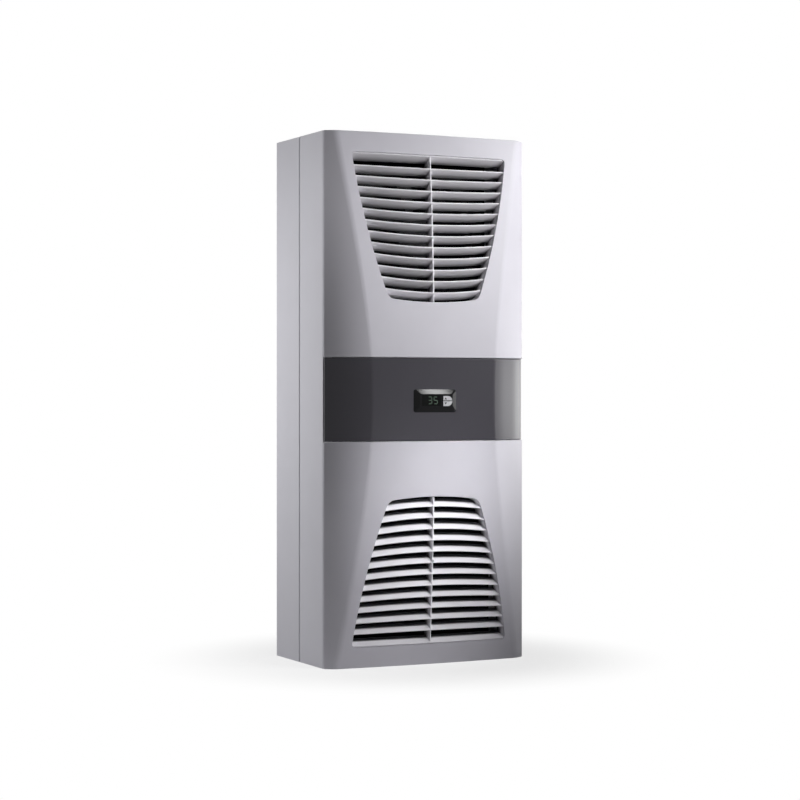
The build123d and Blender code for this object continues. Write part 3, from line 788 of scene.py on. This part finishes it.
class COOLER_OT_coils(bpy.types.Operator):
    """Fin packs of the evaporator and the condenser"""

    bl_idname = "cooler.coils"
    bl_label = "Coils"

    def execute(self, context):
        finish = context.scene.cooler_finish
        detail = context.scene.cooler_detail
        # Bare aluminium fins: bright edges over a dark gap, with slightly uneven gloss.
        bare = grained(
            "bare_aluminium_fins", finish.aluminium,
            grain_mm=2.0, relief_mm=0.005, roughness=0.35, spread=0.08, mottle=0.08, Metallic=1.0,
        )
        # Epoxy coated aluminium fins of the outer circuit: dull black.
        coated = grained(
            "black_epoxy_coated_fins", finish.fan,
            grain_mm=1.0, relief_mm=0.005, roughness=0.7, specular=0.1,
        )
        for name, side, slot, material in (
            ("evaporator", 1, "aluminium_fins", bare),
            ("condenser", -1, "black_coated_fins", coated),
        ):
            low, high = (Vector(corner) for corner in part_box(f"{name}_coil"))
            middle, size = (low + high) / 2, high - low
            # The end plates stand past the fins above, below and on the open side.
            depth = size.y - detail.end_lap
            place_y = middle.y - side * detail.end_lap / 2
            fins = int((size.x - 2 * detail.end_plate) / detail.fin_pitch)
            tube_step = size.z / detail.tube_count
            pack = grow(
                f"{name}_fin_pack", self.coil_tree(f"{name}_fin_pack", material), slot,
                fins=fins, fin_step=(detail.fin_pitch, 0, 0),
                fin_first=(middle.x - detail.fin_pitch * (fins - 1) / 2, place_y, middle.z),
                fin_size=(detail.fin_sheet, depth, size.z - 2 * detail.end_lap),
                end_step=(size.x - detail.end_plate, 0, 0),
                end_first=(low.x + detail.end_plate / 2, middle.y, middle.z),
                end_size=(detail.end_plate, size.y, size.z),
                tubes=detail.tube_count, tube_step=(0, 0, tube_step),
                tube_first=(middle.x, place_y, low.z + tube_step / 2),
                tube_radius=detail.tube_radius, tube_length=size.x - detail.end_plate,
            )
            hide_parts(f"{name}_coil")
        return {"FINISHED"}

    def coil_tree(self, name, material):
        """Thin upright fins on level tubes, between two end plates."""
        tree, given = open_tree(
            name, fins="Int", fin_first="Vector", fin_step="Vector", fin_size="Vector",
            end_first="Vector", end_step="Vector", end_size="Vector",
            tubes="Int", tube_first="Vector", tube_step="Vector",
            tube_radius="Float", tube_length="Float",
        )
        fin = add_node(tree, "GeometryNodeMeshCube", {"Size": given["fin_size"]})
        end = add_node(tree, "GeometryNodeMeshCube", {"Size": given["end_size"]})
        tube = add_node(
            tree, "GeometryNodeMeshCylinder",
            {"Vertices": 12, "Radius": given["tube_radius"], "Depth": given["tube_length"]},
        )
        pack = add_node(tree, "GeometryNodeJoinGeometry")
        for row in (
            line_up(tree, fin.outputs[0], given["fins"], given["fin_first"], given["fin_step"]),
            line_up(tree, end.outputs[0], 2, given["end_first"], given["end_step"]),
            line_up(
                tree, tube.outputs[0], given["tubes"], given["tube_first"], given["tube_step"],
                Rotation=(0, math.pi / 2, 0),
            ),
        ):
            tree.links.new(row, pack.inputs[0])
        close_tree(tree, pack.outputs[0], material)
        return tree


class COOLER_OT_socket(bpy.types.Operator):
    """Connection socket on the rear, with its contact pins"""

    bl_idname = "cooler.socket"
    bl_label = "Connection socket"

    def execute(self, context):
        finish = context.scene.cooler_finish
        detail = context.scene.cooler_detail
        # Dark grey moulded nylon: satin, slightly rough.
        nylon = grained(
            "dark_grey_moulded_nylon", finish.terminal,
            grain_mm=0.8, relief_mm=0.008, roughness=0.45,
        )
        dress(nylon, "connection_socket")
        # Turned brass: warm yellow points in the dark socket.
        brass = grained(
            "turned_brass", finish.brass,
            grain_mm=0.6, relief_mm=0.002, roughness=0.25, mottle=0.05, Metallic=1.0,
        )
        tree, given = open_tree(
            "contact_pins",
            count="Int", first="Vector", step="Vector", radius="Float", length="Float",
        )
        tip = maths(tree, "MULTIPLY", given["radius"], detail.pin_tip)
        pin = add_node(
            tree, "GeometryNodeMeshCone",
            {
                "Vertices": 16, "Radius Top": tip,
                "Radius Bottom": given["radius"], "Depth": given["length"],
            },
        )
        pins = line_up(
            tree, pin.outputs[0], given["count"], given["first"], given["step"],
            Rotation=(-math.pi / 2, 0, 0),
        )
        close_tree(tree, pins, brass)
        low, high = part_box("connection_socket")
        middle_z = midway(low, high)[2]
        floor = surface_at("connection_socket", 0, middle_z, True)
        grow(
            "contact_pins", tree, "zinc_plated_steel", count=detail.pin_count,
            step=(detail.pin_pitch, 0, 0), radius=detail.pin_radius, length=detail.pin_length,
            first=(-detail.pin_pitch * (detail.pin_count - 1) / 2, floor[1], middle_z),
        )
        return {"FINISHED"}


class COOLER_OT_stage(bpy.types.Operator):
    """Floor, world, lamps and camera"""

    bl_idname = "cooler.stage"
    bl_label = "Stage"

    def execute(self, context):
        scene = context.scene
        stage = scene.cooler_stage
        scene.view_settings.view_transform = "Standard"
        self.make_world(scene, stage)
        self.make_floor(scene, stage)
        for name, place, target, size, spread in (
            ("key", (1.3, -1.2, 1.2), (0, -0.1, 0.7), (0.35, 0.35), 45),
            ("low", (0.15, -0.6, 0.65), (0, -0.11, 0.24), (0.2, 0.2), 40),
            ("top", (0.45, -0.22, 1.08), (0.15, -0.1, 0.93), (0.2, 0.2), 60),
            ("fin", (0.25, -1.1, 0.15), (0.02, -0.12, 0.78), (0.2, 0.2), 60),
            ("right", (0.8, -0.35, 0.5), (0.18, -0.1, 0.42), (0.25, 0.25), 60),
            ("left", (-0.7, -0.5, 1.2), (-0.18, -0.1, 0.85), (0.25, 0.25), 25),
            ("side", (-0.8, 0.35, 0.53), (-0.2, 0, 0.53), (0.3, 0.5), 180),
            ("shoulder", (-0.8, 0.35, 0.75), (-0.2, 0, 0.65), (0.3, 0.4), 180),
        ):
            self.make_lamp(scene, name, place, target, size, spread)
        # These three show in gloss only: the first draws the highlight on the controller's upper
        # chamfer, the others the sheen on the bevels at the right.
        for name, place, target, size in (
            ("glint", (0.456, -0.484, 1.305), (0, -0.127, 0.489), (0.04, 0.06)),
            ("bevel", (1.2, -0.25, 0.475), (0.16, -0.1, 0.475), (0.7, 0.3)),
            ("sheen", (1.2, 0.04, 0.475), (0.19, -0.09, 0.475), (0.3, 0.3)),
        ):
            self.make_lamp(scene, name, place, target, size).visible_diffuse = False
        self.make_camera(scene, stage)
        return {"FINISHED"}

    def make_camera(self, scene, stage):
        """Level camera, turned about the vertical and shifted to frame the unit."""
        camera = bpy.data.objects.new("camera", bpy.data.cameras.new("camera"))
        scene.collection.objects.link(camera)
        camera.location = stage.camera_place
        camera.rotation_euler = (math.pi / 2, 0, stage.camera_turn)
        camera.data.lens = stage.lens
        camera.data.sensor_width = stage.sensor
        camera.data.shift_x, camera.data.shift_y = stage.camera_shift
        scene.camera = camera

    def seen(self, tree):
        """One for what the camera sees straight, in a reflection or through glass."""
        path = add_node(tree, "ShaderNodeLightPath").outputs
        either = maths(tree, "MAXIMUM", path["Is Camera Ray"], path["Is Glossy Ray"])
        return maths(tree, "MAXIMUM", either, path["Is Transmission Ray"])

    def make_world(self, scene, stage):
        """White to the camera and in reflections, a faint grey as light."""
        world = bpy.data.worlds.new("studio")
        world.use_nodes = True
        tree = world.node_tree
        tree.nodes.clear()
        fill = add_node(
            tree, "ShaderNodeBackground", {"Color": (1, 1, 1, 1), "Strength": stage.fill}
        )
        white = add_node(tree, "ShaderNodeBackground", {"Color": (1, 1, 1, 1), "Strength": 1.0})
        mix = add_node(
            tree, "ShaderNodeMixShader",
            {0: self.seen(tree), 1: fill.outputs[0], 2: white.outputs[0]},
        )
        add_node(tree, "ShaderNodeOutputWorld", {"Surface": mix.outputs[0]})
        scene.world = world

    def make_floor(self, scene, stage):
        """Pale floor that keeps a soft shadow by the unit and turns white further out."""
        half = stage.floor_size / 2
        mesh = bpy.data.meshes.new("floor")
        corners = [(-half, -half, 0), (half, -half, 0), (half, half, 0), (-half, half, 0)]
        mesh.from_pydata(corners, [], [(0, 1, 2, 3)])
        floor = bpy.data.objects.new("floor", mesh)
        scene.collection.objects.link(floor)
        material = new_material("pale_studio_floor")
        tree = material.node_tree
        place = add_node(tree, "ShaderNodeTexCoord")
        reach = add_node(
            tree, "ShaderNodeVectorMath", {0: place.outputs["Object"]}, operation="LENGTH"
        )
        far = add_node(
            tree, "ShaderNodeMapRange",
            {
                "Value": reach.outputs["Value"], "To Min": stage.near_white,
                "From Min": stage.white_start, "From Max": stage.white_end,
            },
            interpolation_type="SMOOTHSTEP",
        )
        shown = maths(tree, "MULTIPLY", self.seen(tree), far.outputs["Result"])
        pale = add_node(tree, "ShaderNodeBsdfDiffuse", {"Color": (*stage.floor_tint, 1)})
        white = add_node(tree, "ShaderNodeEmission", {"Color": (1, 1, 1, 1), "Strength": 1.0})
        mix = add_node(
            tree, "ShaderNodeMixShader",
            {0: shown, 1: pale.outputs[0], 2: white.outputs[0]},
        )
        add_node(tree, "ShaderNodeOutputMaterial", {"Surface": mix.outputs[0]})
        mesh.materials.append(material)

    def make_lamp(self, scene, name, place, target, size, spread=180):
        """Rectangular lamp that points at a target and spreads over an angle in degrees."""
        lamp = bpy.data.lights.new(f"{name}_lamp", "AREA")
        lamp.shape = "RECTANGLE"
        lamp.size, lamp.size_y = size
        lamp.spread = math.radians(spread)
        lamp.energy = getattr(scene.cooler_stage, f"{name}_power")
        holder = bpy.data.objects.new(f"{name}_lamp", lamp)
        scene.collection.objects.link(holder)
        holder.location = place
        holder.visible_camera = False
        aim = Vector(target) - Vector(place)
        holder.rotation_euler = aim.to_track_quat("-Z", "Y").to_euler()
        return holder


OPERATORS = (
    COOLER_OT_sheet_metal,
    COOLER_OT_front,
    COOLER_OT_controller,
    COOLER_OT_screws,
    COOLER_OT_fans,
    COOLER_OT_coils,
    COOLER_OT_socket,
    COOLER_OT_stage,
)


class COOLER_PT_panel(bpy.types.Panel):
    """Sidebar panel that lists the steps and their settings"""

    bl_label = "Cooling unit"
    bl_space_type = "VIEW_3D"
    bl_region_type = "UI"
    bl_category = "Cooling unit"

    def draw(self, context):
        """Buttons for the steps, then every setting."""
        for operator in OPERATORS:
            self.layout.operator(operator.bl_idname)
        scene = context.scene
        for group in (scene.cooler_finish, scene.cooler_detail, scene.cooler_stage):
            for name in group.__annotations__:
                self.layout.prop(group, name)


CLASSES = (FinishSettings, DetailSettings, StageSettings, *OPERATORS, COOLER_PT_panel)


def register():
    """Makes the classes and the scene's settings known to Blender."""
    for item in CLASSES:
        bpy.utils.register_class(item)
    bpy.types.Scene.cooler_finish = bpy.props.PointerProperty(type=FinishSettings)
    bpy.types.Scene.cooler_detail = bpy.props.PointerProperty(type=DetailSettings)
    bpy.types.Scene.cooler_stage = bpy.props.PointerProperty(type=StageSettings)


def unregister():
    """Takes the settings and the classes out again."""
    del bpy.types.Scene.cooler_stage
    del bpy.types.Scene.cooler_detail
    del bpy.types.Scene.cooler_finish
    for item in reversed(CLASSES):
        bpy.utils.unregister_class(item)


def main():
    """Dresses the unit and sets the stage."""
    register()
    bpy.ops.cooler.sheet_metal()
    bpy.ops.cooler.front()
    bpy.ops.cooler.controller()
    bpy.ops.cooler.screws()
    bpy.ops.cooler.fans()
    bpy.ops.cooler.coils()
    bpy.ops.cooler.socket()
    bpy.ops.cooler.stage()


if __name__ == "__main__":
    main()
